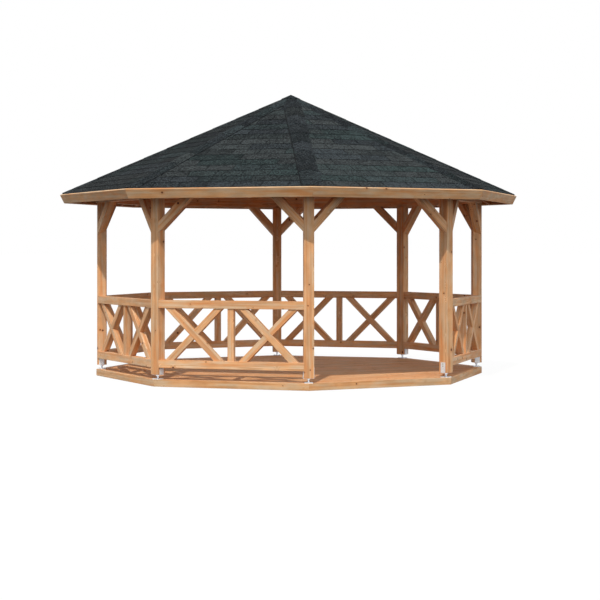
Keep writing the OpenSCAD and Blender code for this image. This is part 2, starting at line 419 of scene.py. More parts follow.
# %% Slate felt finish
GRAINS_PER_METRE = 620
CLUMPS_PER_METRE = 54
BLOTCHES_PER_METRE = 7
BLUE_SLATE = paint(59, 65, 71)
GREEN_SLATE = paint(57, 70, 72)
GREY_SLATE = paint(64, 69, 72)
DARK_SHARE = (0.1, 0.105, 0.12, 1)
SPARKLE = paint(94, 99, 100)

felt = Tree(bpy.data.materials.new("slate_felt"))
spot = felt.node("ShaderNodeTexCoord", out="Object")
tone = felt.attribute("tone", "Fac")
tint = felt.attribute("tint", "Fac")
cells = {"Vector": spot, "Scale": GRAINS_PER_METRE}
distance, chance = felt.node("ShaderNodeTexVoronoi", None, cells, ("Distance", "Color"))
luck, sparkle = felt.node("ShaderNodeSeparateColor", None, {"Color": chance}, ("Red", "Green"))
blotch = felt.fade(felt.noise(spot, BLOTCHES_PER_METRE, 3), 0.3, 0.7)
clump = felt.fade(felt.noise(spot, CLUMPS_PER_METRE, 2), 0.38, 0.62)
share = tone * 0.5 + blotch * 0.25 + clump * 0.75 - 0.3
pale = felt.mix(felt.fade(tint, 0, 0.5), BLUE_SLATE, GREEN_SLATE)
pale = felt.mix(felt.fade(tint, 0.5, 1), pale, GREY_SLATE)
dark = felt.mix(1, pale, DARK_SHARE, "MULTIPLY")
colour = felt.mix(felt.fade(luck, 0.8 - share, 1.2 - share), dark, pale)
colour = felt.mix(felt.fade(sparkle, 0.85, 1) * 0.5, colour, SPARKLE)
felt.skin(
    Base_Color=colour,
    Roughness=luck * 0.15 + 0.85,
    Normal=felt.bump(luck * 0.5 - distance, 0.0012, 0.7),
    Specular_IOR_Level=0.05,
)
print("felt with", GRAINS_PER_METRE, "grains to a metre")

# %% [markdown]
# The post shoes are dipped in molten zinc. It freezes in crystals about a centimetre wide, which show as
# pale and dark flakes, the spangle. The metal is the same everywhere, so only the brightness and the
# roughness follow the flakes. A threaded stem and its nut are plated instead, which leaves them bright:
# an attribute called polish says where. The screws are smaller and darker, so theirs is a fine, quiet
# grain.

# %% Zinc finish


def zinc(name, dark, light, flakes_per_metre):
    """A zinc coat with flakes. The attribute polish is 1 where it is bright and 0 where it is dull."""
    tree = Tree(bpy.data.materials.new(name))
    spot = tree.node("ShaderNodeTexCoord", out="Object")
    polish = tree.attribute("polish", "Fac")
    flake = tree.node("ShaderNodeTexVoronoi", None, {"Vector": spot, "Scale": flakes_per_metre}, "Color")
    luck = tree.node("ShaderNodeSeparateColor", None, {"Color": flake}, "Red")
    dull = tree.noise(spot, flakes_per_metre / 4, 3)
    tree.skin(
        Base_Color=tree.mix(luck * 0.7 + dull * 0.3, dark, light),
        Roughness=(dull * 0.3 + luck * 0.1 + 0.4) * (1 - polish * 0.7),
        Metallic=polish * 0.55 + 0.4,
    )
    return tree.owner


SHOE_ZINC = zinc("hot_dip_zinc", paint(210, 214, 222), paint(238, 240, 245), 110)
SCREW_ZINC = zinc("screw_zinc", paint(142, 142, 140), paint(182, 182, 178), 900)
print("two zinc coats")

# %% [markdown]
# Now the timbers. A timber starts as a cube that is stretched to its size and laid in place. A saw cuts
# its ends: bisect_plane with clear_outer takes away all that lies beyond a plane, and the open end is
# filled. Planed timber has rounded long edges and sharp sawn ends, so only edges along the grain are
# bevelled. Last, each vertex notes where it lies in the trunk. The trunk's heart is somewhere near, at a
# place drawn by dice.

# %% Saw, plane and mark a timber
ARRIS = 0.003
SAME_PLACE = 1e-6
NEARLY_ALONG = 0.98
TRUNK = 90
HEART_ASIDE = 0.08
HEART_DEPTH = (0.02, 0.11)
UPRIGHT = Matrix.Rotation(radians(-90), 4, "Y")
ACROSS = Matrix.Rotation(radians(90), 4, "Z")
dice = random.Random(8)


def shift(x, y, z):
    return Matrix.Translation((x, y, z))


def block(length, width, depth, lie=Matrix()):
    """A box along the axes of lie, with its middle there."""
    bm = bmesh.new()
    bmesh.ops.create_cube(bm, size=1, matrix=lie @ Matrix.Diagonal((length, width, depth, 1)))
    return bm


def saw(bm, cuts):
    """Cuts off what lies beyond each plane, where its normal points, and closes the cut."""
    for point, normal in cuts:
        everything = bm.verts[:] + bm.edges[:] + bm.faces[:]
        cut = bmesh.ops.bisect_plane(
            bm, geom=everything, dist=SAME_PLACE, plane_co=point, plane_no=normal, clear_outer=True
        )
        edges = [e for e in cut["geom_cut"] if isinstance(e, bmesh.types.BMEdge)]
        if edges:
            bmesh.ops.edgeloop_fill(bm, edges=edges)


def soften(bm, edges, radius, segments):
    """Rounds edges, or chamfers them if there is one segment only."""
    bmesh.ops.bevel(
        bm, geom=edges, offset=radius, offset_type="OFFSET", affect="EDGES",
        segments=segments, profile=0.5, material=-1, clamp_overlap=True,
    )


def plane(bm, lie, arris):
    """Rounds the edges that run along the grain, which is the +X of lie."""
    along = lie.to_3x3() @ Vector((1, 0, 0))

    def runs_along(edge):
        return abs((edge.verts[0].co - edge.verts[1].co).normalized() @ along) > NEARLY_ALONG

    soften(bm, [e for e in bm.edges if runs_along(e)], arris, segments=2)


def mark(bm, **values):
    """Writes one value for each name on all the vertices of a part."""
    for name, value in values.items():
        layer = bm.verts.layers.float.new(name)
        for vert in bm.verts:
            vert[layer] = value


def mark_grain(bm, lie):
    """Writes where each vertex lies in the trunk that the timber was cut from."""
    mark(bm, tone=dice.random())
    heart = Vector((
        dice.uniform(0, TRUNK), dice.uniform(-HEART_ASIDE, HEART_ASIDE), dice.uniform(*HEART_DEPTH)
    ))
    layer = bm.verts.layers.float_vector.new("grain")
    back = lie.inverted()
    for vert in bm.verts:
        vert[layer] = back @ vert.co + heart


def retone(bm, change):
    """Makes each vertex paler by what change gives for its place, or darker where that is below zero."""
    layer = bm.verts.layers.float["tone"]
    for vert in bm.verts:
        vert[layer] += change(vert.co)


def timber(length, width, depth, lie, cuts=(), arris=ARRIS):
    """A planed bar along the +X of lie, with its ends cut by planes."""
    bm = block(length, width, depth, lie)
    saw(bm, cuts)
    plane(bm, lie, arris)
    mark_grain(bm, lie)
    return bm


def pulled(outline, depth, lie):
    """A flat outline on XY of lie, pulled out along its Z to a depth, and centred there."""
    bm = bmesh.new()
    face = bm.faces.new([bm.verts.new((x, y, -depth / 2)) for x, y in outline])
    made = bmesh.ops.extrude_face_region(bm, geom=[face])
    top = [v for v in made["geom"] if isinstance(v, bmesh.types.BMVert)]
    bmesh.ops.translate(bm, vec=(0, 0, depth), verts=top)
    bmesh.ops.recalc_face_normals(bm, faces=bm.faces)
    bm.transform(lie)
    return bm


print("saw and plane are ready")

# %% [markdown]
# Every node of the frame gets one new piece, joined from many parts. The parts are made one by one, each
# in a bmesh of its own, because the operators then work on all of it and need no selection. Piece
# collects them, and at the end makes the object, hangs it on the frame and hides the nodes that it stands
# for. Some nodes hold four sides each, and one loop makes such pairs of pieces.

# %% Collect parts into a piece


class Piece:
    """One object of the gazebo, joined from parts."""

    def __init__(self, name):
        self.name = name
        self.bm = bmesh.new()
        self.parts = 0

    def add(self, part, place=Matrix()):
        if part.verts:
            part.transform(place)
            mesh = bpy.data.meshes.new("part")
            part.to_mesh(mesh)
            self.bm.from_mesh(mesh)
            bpy.data.meshes.remove(mesh)
            self.parts += 1
        part.free()

    def done(self, finish, slot, *nodes):
        mesh = bpy.data.meshes.new(self.name)
        self.bm.to_mesh(mesh)
        self.bm.free()
        mesh.materials.append(finish)
        piece = put(self.name, mesh)
        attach(piece, "root")
        if nodes:
            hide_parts(*nodes)
        print(f"{self.name}: {self.parts} parts, {len(mesh.polygons)} faces")


def pieces_by_side(name, finish, slot, node):
    """Makes a piece of the square sides and one of the diagonal sides, and hands it out for each side."""
    for group, sides in (("square", SQUARE_SIDES), ("diagonal", DIAGONAL_SIDES)):
        piece = Piece(f"{name}_{group}")
        for i in sides:
            yield piece, i
        piece.done(finish, slot, f"{node}_{group}")


print("ready to collect parts")

# %% [markdown]
# The posts are the simplest timbers: square bars that stand up. Theirs is the widest arris of all.

# %% Posts
POST_ARRIS = 0.005

post_height = post_high.z - post_low.z
for i in SIDES:
    piece = Piece(f"timber_post_{i}")
    stand = shift(post_reach, 0, post_low.z + post_height / 2) @ UPRIGHT
    piece.add(timber(post_height, post_width, post_width, stand, arris=POST_ARRIS), corner(i))
    piece.done(FRAME_WOOD, "frame_timber", f"post_{i}")

# %% [markdown]
# A ring of beams lies on the posts. Their ends meet in mitres, which lie in the planes through the corner
# lines. The same two planes, moved in by half a post, are the faces of the posts, so one function gives
# the end cuts of everything that runs along a side.

# %% Eave beams
MITRE_GAP = 0.0004


def end_cuts(margin):
    """The planes that end a timber of one side, short of the corner lines by a margin."""
    normals = [Vector((-sin(HALF), hand * cos(HALF), 0)) for hand in (-1, 1)]
    return [(-margin * normal, normal) for normal in normals]


def side_bar(reach, z, width, depth, margin, arris=ARRIS):
    """A bar along a side, centred at a reach from the middle of the gazebo and at a height."""
    lie = shift(reach, 0, z) @ ACROSS
    return timber(2 * reach * tan(HALF) + depth, width, depth, lie, end_cuts(margin), arris)


beam_width = 2 * (beam_high.x - panel_reach)
beam_height = beam_high.z - beam_low.z
beam_z = beam_low.z + beam_height / 2
for piece, i in pieces_by_side("beams", FRAME_WOOD, "frame_timber", "eave_beams"):
    piece.add(side_bar(panel_reach, beam_z, beam_width, beam_height, MITRE_GAP), side(i))

# %% [markdown]
# Knee braces keep the posts square to the beams. Each is a bar at 45 degrees whose ends are cut by the
# face of the post and by the underside of the beam. Left and right are the same bar with the sign of one
# turn changed.

# %% Knee braces
BRACE = 0.095
BRACE_REACH = 0.390

post_face = panel_reach * tan(HALF) - post_width / 2 / cos(HALF)
brace_rise = BRACE_REACH - BRACE / sqrt(2)
brace_length = brace_rise * sqrt(2)
under_beam = (Vector((0, 0, post_high.z)), Vector((0, 0, 1)))


def brace_lie(hand):
    """The frame of a brace, from the middle of its foot. Hand is -1 at the left end of a side, else 1."""
    foot = shift(panel_reach, hand * post_face, post_high.z - brace_rise)
    return foot @ Matrix.Rotation(hand * radians(-45), 4, "X") @ ACROSS


for name, hand in (("left", -1), ("right", 1)):
    piece = Piece(f"braces_{name}")
    for i in SIDES:
        cuts = [end_cuts(post_width / 2)[(hand + 1) // 2], under_beam]
        piece.add(timber(3 * BRACE_REACH, BRACE, BRACE, brace_lie(hand), cuts), side(i))
    piece.done(FRAME_WOOD, "frame_timber", f"knee_braces_{name}")

# %% [markdown]
# A balustrade has two rails, a stile in the middle and two crosses. The bars of a cross are half-lapped:
# each is notched to half its depth, so that they lie in one plane. A notched bar is an outline seen from
# its edge, pulled out to its width. The ends of bars and stile are tenons that go into both rails. Both
# rails get a change of tone that is painted light: a low rail is made paler for the light that the sunlit
# deck throws up, and a top rail darker for the shade under the eaves.

# %% Balustrades
RAIL = 0.095
BAR = 0.076
BAR_DEPTH = 0.070
TENON = 0.020
# Painted light in the tone of the rails: paler low rails for the deck's bounce light, darker top rails for
# the eaves' shade.
LOW_RAIL_PAINTED_BOUNCE_LIGHT = 0.65
TOP_RAIL_PAINTED_SHADE = -0.5

rail_depth = panel_high.x - panel_low.x
gap_low = panel_low.z + RAIL
gap_high = panel_high.z - RAIL
gap_mid = (gap_low + gap_high) / 2
tenon_cuts = [
    (Vector((0, 0, gap_high + TENON)), Vector((0, 0, 1))),
    (Vector((0, 0, gap_low - TENON)), Vector((0, 0, -1))),
]


def cross_bar(y, lean):
    """One bar of a cross. The one that leans left is notched on its inner face, the other outside."""
    lie = shift(panel_reach, y, gap_mid) @ Matrix.Rotation(lean * radians(45), 4, "X") @ ACROSS
    half_length = gap_high - gap_low
    half = BAR / 2
    notched = -lean * BAR_DEPTH / 2
    outline = [
        (-half_length, -notched), (half_length, -notched), (half_length, notched), (half, notched),
        (half, 0), (-half, 0), (-half, notched), (-half_length, notched),
    ]
    bar = pulled(outline, BAR, lie)
    saw(bar, tenon_cuts)
    plane(bar, lie, ARRIS)
    mark_grain(bar, lie)
    return bar


bay_mid = (BAR / 2 + post_face) / 2
for i in SIDES:
    if i == ENTRANCE:
        continue
    piece = Piece(f"balustrade_timbers_{i}")
    # The low rail gets painted bounce light and the top rail gets painted shade.
    for z, paler in ((panel_low.z + RAIL / 2, LOW_RAIL_PAINTED_BOUNCE_LIGHT), (panel_high.z - RAIL / 2, TOP_RAIL_PAINTED_SHADE)):
        rail = side_bar(panel_reach, z, rail_depth, RAIL, post_width / 2)
        retone(rail, lambda place: paler)
        piece.add(rail, side(i))
    stile = shift(panel_reach, 0, gap_mid) @ UPRIGHT
    piece.add(timber(gap_high - gap_low + 2 * TENON, BAR, BAR_DEPTH, stile), side(i))
    for y in (-bay_mid, bay_mid):
        for lean in (-1, 1):
            piece.add(cross_bar(y, lean), side(i))
    piece.done(FRAME_WOOD, "frame_timber", f"balustrade_{i}")

# %% [markdown]
# The deck is framed by rim boards on edge, mitred like the beams. Inside it, boards run along the
# entrance side with gaps for the rain. A board is a bar right across, and the eight sides of the rim cut
# it to length.

# %% Deck rim
rim_thickness = rim_high.x - floor_high.x
rim_reach = rim_high.x - rim_thickness / 2
for piece, i in pieces_by_side("rim_boards", RIM_WOOD, "deck_timber", "deck_rim"):
    piece.add(side_bar(rim_reach, rim_high.z / 2, rim_thickness, rim_high.z, MITRE_GAP), side(i))

# %% Floor boards and joists
BOARD_STEP = 0.125
BOARD_GAP = 0.005
JOIST = 0.070
JOIST_STEP = 0.560

floor_thickness = floor_high.z - floor_low.z
board_count = round(2 * floor_high.x / BOARD_STEP)
board_step = 2 * floor_high.x / board_count
inside_rim = [
    (side(i) @ Vector((floor_high.x - BOARD_GAP / 2, 0, 0)), side(i) @ Vector((1, 0, 0))) for i in SIDES
]
board_rows = [(row + 0.5) * board_step - floor_high.x for row in range(board_count)]

piece = Piece("floor_boards")
for y in board_rows:
    lie = shift(0, y, floor_low.z + floor_thickness / 2)
    piece.add(timber(2 * floor_high.x, board_step - BOARD_GAP, floor_thickness, lie, inside_rim))
piece.done(DECK_WOOD, "deck_timber", "deck_floor")

joist_reach = floor_high.x - JOIST / 2
bays = round(joist_reach / JOIST_STEP)
joist_rows = [k * joist_reach / bays for k in range(-bays, bays + 1)]
piece = Piece("joists")
for x in joist_rows:
    lie = shift(x, 0, floor_low.z / 2) @ ACROSS
    piece.add(timber(2 * floor_high.x, JOIST, floor_low.z, lie, inside_rim))
piece.done(DECK_WOOD, "deck_timber", "floor_joists")

# %% [markdown]
# The fascia closes the ends of the rafters. It is square to the roof and not upright, so it is laid in
# the frame of the slope, where +X runs down the roof. Only its mitres are cut in the frame of the side.

# %% Fascia
FASCIA_HEIGHT = 0.120
FASCIA = 0.028

lie = SLOPE @ shift(eave_length - FASCIA / 2, 0, -FASCIA_HEIGHT / 2) @ ACROSS
for piece, i in pieces_by_side("fascia_boards", FASCIA_WOOD_PAINTED_SHADE, "frame_timber", "fascia"):
    piece.add(timber(eave_reach, FASCIA, FASCIA_HEIGHT, lie, end_cuts(MITRE_GAP)), side(i))

# %% [markdown]
# Under the roof, eight hip rafters rise along the corners to a hub, and jack rafters fill the sides
# between. Both are outlines seen from the side, with a bird's mouth: the notch that sits on the beam. The
# hips are then sawn along both slopes, so that the boards lie flat on them, and the jacks get slanting
# cheek cuts at the hips.

# %% Rafters
SHINGLE = 0.006
ROOF_BOARD = 0.019
RAFTER = 0.095
HIP = 0.050
JACK = 0.045
JACK_STEP = 0.620
HUB = 0.260

cover = SHINGLE + ROOF_BOARD
tip = apex - cover / cos(PITCH)
drop = RAFTER / cos(PITCH)
SIDEWAYS = Matrix.Rotation(radians(90), 4, "X")
board_end = eave_length - FASCIA


def rafter_outline(start, end, slope, notch_end):
    """Side view of a rafter whose top falls from the tip by a slope, notched over the beam to notch_end."""
    def low(x):
        return tip - slope * x - drop
    notch_start = (tip - drop - beam_high.z) / slope
    return [
        (start, low(start)), (notch_start, beam_high.z), (notch_end, beam_high.z),
        (notch_end, low(notch_end)), (end, low(end)),
        (end, tip - slope * end), (start, tip - slope * start),
    ]


def rafter(outline, width, y, slope, cuts):
    bm = pulled(outline, width, shift(0, y, 0) @ SIDEWAYS)
    saw(bm, cuts)
    lie = shift(0, y, tip) @ Matrix.Rotation(atan(slope), 4, "Y")
    plane(bm, lie, ARRIS)
    mark_grain(bm, lie)
    return bm


def slope_cuts(turn):
    """The underside of the roof boards of one slope, and the inner face of its fascia."""
    turned = Matrix.Rotation(turn, 4, "Z")
    facing = turned.to_3x3() @ SLOPE.to_3x3()
    boards = (Vector((0, 0, tip)), facing @ Vector((0, 0, 1)))
    fascia = (turned @ SLOPE @ Vector((board_end, 0, 0)), facing @ Vector((1, 0, 0)))
    return [boards, fascia]


hip_slope = tan(PITCH) * cos(HALF)
hip_outline = rafter_outline(HUB / 2, eave_reach / cos(HALF), hip_slope, beam_high.x / cos(HALF))
piece = Piece("hips")
for i in SIDES:
    piece.add(rafter(hip_outline, HIP, 0, hip_slope, slope_cuts(-HALF) + slope_cuts(HALF)), corner(i))
piece.done(ROOF_WOOD_PAINTED_SHADE, "roof_timber", "hip_rafters")

piece = Piece("jacks")
for i in SIDES:
    for y in (-JACK_STEP, 0, JACK_STEP):
        start = max(HUB / 2, (abs(y) - JACK) / tan(HALF))
        outline = rafter_outline(start, eave_reach, tan(PITCH), beam_high.x)
        piece.add(rafter(outline, JACK, y, tan(PITCH), slope_cuts(0)[1:] + end_cuts(HIP / 2)), side(i))
piece.done(ROOF_WOOD_PAINTED_SHADE, "roof_timber", "jack_rafters")

# %% [markdown]
# All rafters lean on a hub with sixteen faces, one for each hip and one for each middle jack. It starts
# as a cone with two equal radii, which is a prism. The slopes trim its top, and its lower rim is rounded.

# %% Hub
HUB_DROP = 0.060
HUB_FACES = 2 * len(SIDES)
HUB_ROUNDING = 0.012
NEAR = 1e-5

hub_low = tip - hip_slope * HUB / 2 - drop - HUB_DROP
hub_height = tip - hub_low
hub_radius = HUB / 2 / cos(pi / HUB_FACES)
hub_place = shift(0, 0, hub_low + hub_height / 2) @ Matrix.Rotation(pi / HUB_FACES, 4, "Z")
bm = bmesh.new()
bmesh.ops.create_cone(
    bm, cap_ends=True, segments=HUB_FACES, radius1=hub_radius, radius2=hub_radius,
    depth=hub_height, matrix=hub_place,
)
upwards = [side(i) @ SLOPE.to_3x3().to_4x4() @ Vector((0, 0, 1)) for i in SIDES]
saw(bm, [(Vector((0, 0, tip)), normal) for normal in upwards])
lower_rim = [e for e in bm.edges if all(abs(v.co.z - hub_low) < NEAR for v in e.verts)]
soften(bm, lower_rim, HUB_ROUNDING, segments=3)
mark_grain(bm, hub_place @ UPRIGHT)
piece = Piece("hub")
piece.add(bm)
piece.done(ROOF_WOOD_PAINTED_SHADE, "roof_timber", "roof_hub")

# %% [markdown]
# From inside, the ceiling is the underside of the roof boards. They run along the eaves and their edges
# are eased, so that every joint is a small V-groove. Each board is cut along both hips.

# %% Roof boards
ROOF_BOARD_STEP = 0.121
V_GROOVE = 0.003

first_row = cap_high.x / cos(PITCH)
row_count = round((board_end - first_row) / ROOF_BOARD_STEP)
row_step = (board_end - first_row) / row_count
for piece, i in pieces_by_side("roof_boarding", ROOF_WOOD_PAINTED_SHADE, "roof_timber", "roof_boards"):
    for row in range(row_count):
        lie = SLOPE @ shift(first_row + (row + 0.5) * row_step, 0, -SHINGLE - ROOF_BOARD / 2) @ ACROSS
        board = timber(eave_reach, row_step - MITRE_GAP, ROOF_BOARD, lie, end_cuts(MITRE_GAP), V_GROOVE)
        piece.add(board, side(i))

# %% [markdown]
# Felt shingles lie in courses along the eave. Each course leans on the one below, so its lower edge
# stands a little proud and throws a thin shadow. The tabs of a course are a third of a metre wide, with
# slits between them, and every second course is moved by half a tab. A sheet of the same felt lies under
# them all and closes the slits. Its tone is set so low that it is nearly black: painted shade that makes
# the slits read as dark lines. One bump map for the whole roof would be quicker, but its edges would
# catch no sun.
#
# Felt comes in strips of a few tabs, and strips in batches. So each slope draws a tone for its batch,
# each run of two to four tabs its own tone and tint, and each tab a little more. The dice for it are the
# roofer's own, so that a change to the timbers leaves the roof as it is. Cut edges show bare bitumen and
# are dark.

# %% One tab of felt
COURSE = 0.1665
LAP = 0.030
TAB = 0.333
SLIT = 0.008
FELT = 0.0034
FELT_EDGE = 0.0009
EDGE_DARKER = 2


def felt_tab(length, width, s, y, n, tilt, tone, tint):
    """A tab on a slope: s is its middle down the slope, y its middle along the eave, n its height."""
    bm = block(length, width, FELT)
    soften(bm, [e for e in bm.edges if all(v.co.z > 0 for v in e.verts)], FELT_EDGE, segments=1)
    mark(bm, tone=tone, tint=tint)
    retone(bm, lambda place: -EDGE_DARKER if place.z < FELT / 2 - NEAR else 0)
    bm.transform(SLOPE @ shift(s, y, n) @ Matrix.Rotation(-tilt, 4, "Y"))
    return bm


print(f"tabs {TAB - SLIT:.3f} wide")

# %% Shingles
TAB_RISE = 0.005
TAB_UNEVEN = 0.0015
TAB_MOTTLE = 0.12
SHEET_SUNK = 0.0005
# Painted shade: the sheet is made nearly black, so that the slits between the tabs read as dark lines.
SHEET_PAINTED_SHADE_TONE = -2.5
BATCH = 0.6
RUN_TONES = (0.05, 0.75)
RUN_TINTS = (0, 0.1, 0.3, 0.5, 0.7, 0.8, 0.9, 1, 1)
RUN_LENGTHS = (2, 3, 3, 4)

roofer = random.Random(50752)
batches = {i: roofer.uniform(-BATCH, BATCH) for i in SIDES}
course_count = ceil((board_end - first_row) / COURSE)
lean_back = atan(TAB_RISE / (COURSE + LAP))


def felt_run(batch):
    """Tone, tint and number of the tabs that came from one strip of felt."""
    return batch + roofer.uniform(*RUN_TONES), roofer.choice(RUN_TINTS), roofer.choice(RUN_LENGTHS)


for piece, i in pieces_by_side("shingle_tabs", felt.owner, "shingles", "shingles"):
    sheet_length = board_end - first_row
    sheet_n = -SHINGLE + FELT / 2 - SHEET_SUNK
    middle = first_row + sheet_length / 2
    # The sheet's low tone is painted shade in the slits.
    sheet = felt_tab(sheet_length, eave_reach, middle, 0, sheet_n, 0, SHEET_PAINTED_SHADE_TONE, 0)
    saw(sheet, end_cuts(MITRE_GAP))
    piece.add(sheet, side(i))
    for course in range(course_count):
        low_edge = board_end - course * COURSE
        top_edge = max(low_edge - COURSE - LAP, first_row)
        half_width = low_edge * cos(PITCH) * tan(HALF)
        tabs = ceil(half_width / TAB) + 1
        left = 0
        for k in range(-tabs, tabs + 1):
            if left == 0:
                tone, tint, left = felt_run(batches[i])
            left -= 1
            y = (k + course % 2 / 2) * TAB
            if abs(y) - TAB / 2 > half_width:
                continue
            length = low_edge - top_edge + roofer.uniform(-TAB_UNEVEN, TAB_UNEVEN)
            here = tone + roofer.uniform(-TAB_MOTTLE, TAB_MOTTLE)
            middle = (low_edge + top_edge) / 2
            tab = felt_tab(length, TAB - SLIT, middle, y, (FELT - SHINGLE) / 2, lean_back, here, tint)
            saw(tab, end_cuts(MITRE_GAP))
            piece.add(tab, side(i))

# %% [markdown]
# Caps of felt are folded over each hip, from the eave up, every one lapping the one below. A cap starts
# as three points across the hip: one on each slope and one a little above the hip. Extruding them along
# the hip gives two faces with a fold, a bevel softens the fold, and solidify makes them as thick as felt.
#
# Three caps are cut from one strip, so their tones come back in turn: two dark ones and a pale one. They
# are cut by eye, so no two wings are equally wide.

# %% Lines of a hip
hip_turn = atan(hip_slope)
hip_along = Matrix.Rotation(hip_turn, 3, "Y") @ Vector((1, 0, 0))
hip_length = board_end * cos(PITCH) / cos(HALF) / cos(hip_turn)
tip_point = Vector((0, 0, apex))


def wing(turn):
    """The direction in one slope that leads straight away from the hip."""
    facing = Matrix.Rotation(turn, 3, "Z") @ SLOPE.to_3x3() @ Vector((0, 0, 1))
    away = facing.cross(hip_along)
    return away.normalized() * copysign(1, away.y * turn)


def wing_cuts(turn):
    """The planes that end felt on one slope: the inner face of the fascia and the middle of the slope."""
    aside = Matrix.Rotation(turn, 3, "Z") @ Vector((0, copysign(1, turn), 0))
    return [slope_cuts(turn)[1], (Vector(), aside)]


print(f"a hip is {hip_length:.3f} long")

# %% Hip caps
CAP_WING = 0.125
ASKEW = 0.012
FIRST_CAP = 0.170
CAP_STEP = 0.325
CAP_LAP = 0.060
CAP_FADE = 0.15
CAP_TONES = (-0.15, -0.05, 0.4)
CAP_TINTS = (0, 0.1, 0.2, 0.3, 0.9)
CAP_MOTTLE = 0.08
HIP_BATCH = 0.3
FOLD = 0.018
RIDGE = 0.014


def hip_cap(low_end, length, tone):
    """A folded cap whose lower end lies at a distance from the tip, measured along the hip."""
    bm = bmesh.new()
    start = hip_along * (low_end - length)
    ridge = start + Vector((0, 0, RIDGE))
    left, right = [wing(turn) * (CAP_WING - roofer.uniform(0, ASKEW)) for turn in (-HALF, HALF)]
    verts = [bm.verts.new(point) for point in (start + left, ridge, start + right)]
    edges = [bm.edges.new(pair) for pair in zip(verts, verts[1:])]
    made = bmesh.ops.extrude_edge_only(bm, edges=edges)
    moved = [v for v in made["geom"] if isinstance(v, bmesh.types.BMVert)]
    bmesh.ops.translate(bm, vec=hip_along * length, verts=moved)
    fold = [e for e in bm.edges if len(e.link_faces) == 2]
    soften(bm, fold, FOLD, segments=3)
    bmesh.ops.recalc_face_normals(bm, faces=bm.faces)
    if sum(f.normal.z for f in bm.faces) < 0:
        bmesh.ops.reverse_faces(bm, faces=bm.faces)
    bmesh.ops.solidify(bm, geom=bm.faces[:], thickness=FELT)
    tilt = Matrix.Rotation(-FELT / CAP_STEP, 4, "Y")
    low = hip_along * low_end
    bm.transform(shift(0, 0, apex + FELT) @ Matrix.Translation(low) @ tilt @ Matrix.Translation(-low))
    saw(bm, wing_cuts(-HALF) + wing_cuts(HALF))
    mark(bm, tone=tone, tint=roofer.choice(CAP_TINTS))
    retone(bm, lambda place: CAP_FADE * ((low_end - (place - tip_point) @ hip_along) / CAP_STEP - 1))
    return bm


roofer.seed(2558)
hip_batches = {i: roofer.uniform(-HIP_BATCH, HIP_BATCH) for i in SIDES}
piece = Piece("hip_caps")
cap_count = ceil((hip_length - FIRST_CAP) / CAP_STEP) + 1
for i in SIDES:
    for k in range(cap_count):
        low_end = hip_length + FELT - max(0, FIRST_CAP + (k - 1) * CAP_STEP)
        length = min(CAP_STEP + CAP_LAP, low_end - FOLD)
        tone = hip_batches[i] + CAP_TONES[(max(k, 1) + i) % len(CAP_TONES)]
        tone += roofer.uniform(-CAP_MOTTLE, CAP_MOTTLE)
        piece.add(hip_cap(low_end, length, tone), corner(i))
piece.done(felt.owner, "shingles")

# %% [markdown]
# On the diagonal slopes a thin black bead lies along the edge of the caps, which draws each hip as a dark
# line. A bead is a long bar with a rounded back, and half of it is sunk in the felt.

# %% Black beads
BEAD = 0.012
BEAD_RISE = 0.006
LUMPS_PER_METRE = 70
BLACK = paint(4, 5, 6)
DUSTY_BLACK = paint(22, 24, 28)

bead_black_finish = Tree(bpy.data.materials.new("bead_black_finish"))
spot = bead_black_finish.node("ShaderNodeTexCoord", out="Object")
lumps = bead_black_finish.noise(spot, LUMPS_PER_METRE, 3)
bead_black_finish.skin(
    Base_Color=bead_black_finish.mix(lumps, BLACK, DUSTY_BLACK),
    Roughness=lumps * 0.3 + 0.6,
    Normal=bead_black_finish.bump(lumps, 0.002, 0.6),
    Specular_IOR_Level=0.05,
)


def bead(turn):
    """A bead along that edge of the caps of a hip that lies on one slope."""
    away = wing(turn)
    lie = Matrix((hip_along, away, hip_along.cross(away))).transposed().to_4x4()
    lie.translation = tip_point + hip_along * hip_length / 2 + away * CAP_WING
    bm = block(hip_length, BEAD, 2 * BEAD_RISE)
    long_edges = [e for e in bm.edges if abs(e.verts[0].co.x - e.verts[1].co.x) > BEAD]
    soften(bm, long_edges, BEAD_RISE, segments=2)
    bmesh.ops.remove_doubles(bm, verts=bm.verts, dist=NEAR)
    bm.transform(lie)
    saw(bm, wing_cuts(turn))
    bmesh.ops.recalc_face_normals(bm, faces=bm.faces)
    return bm


piece = Piece("dark_hip_beads")
for i in SIDES:
    piece.add(bead(HALF if i in DIAGONAL_SIDES else -HALF), corner(i))
piece.done(bead_black_finish.owner, "shingles")

# %% [markdown]
# A small hat with eight sides closes the tip, where all the caps meet. It is several layers of felt
# thick. A cone without caps gives its sides, and solidify its thickness.

# %% Apex cap
HAT_THICKNESS = 0.012
HAT_TONE = 0.05
HAT_TINT = 0.1

bm = bmesh.new()
hat_height = cap_high.x * tan(PITCH)
hat_place = shift(0, 0, apex + FELT + RIDGE - hat_height / 2) @ Matrix.Rotation(HALF, 4, "Z")
bmesh.ops.create_cone(
    bm, cap_ends=False, segments=len(SIDES), radius1=cap_high.x / cos(HALF), radius2=0,
    depth=hat_height, matrix=hat_place,
)
bmesh.ops.remove_doubles(bm, verts=bm.verts, dist=NEAR)
bmesh.ops.solidify(bm, geom=bm.faces[:], thickness=HAT_THICKNESS)
mark(bm, tone=HAT_TONE, tint=HAT_TINT)
piece = Piece("apex_felt")
piece.add(bm)
piece.done(felt.owner, "shingles", "apex_cap")

# %% [markdown]
# A post shoe keeps the foot of the post dry. A plate stands on the deck, a threaded stem sets the height,
# a nut locks it, and a bent cradle holds the post. The stem is turned: its zigzag edge is spun round the
# axis.

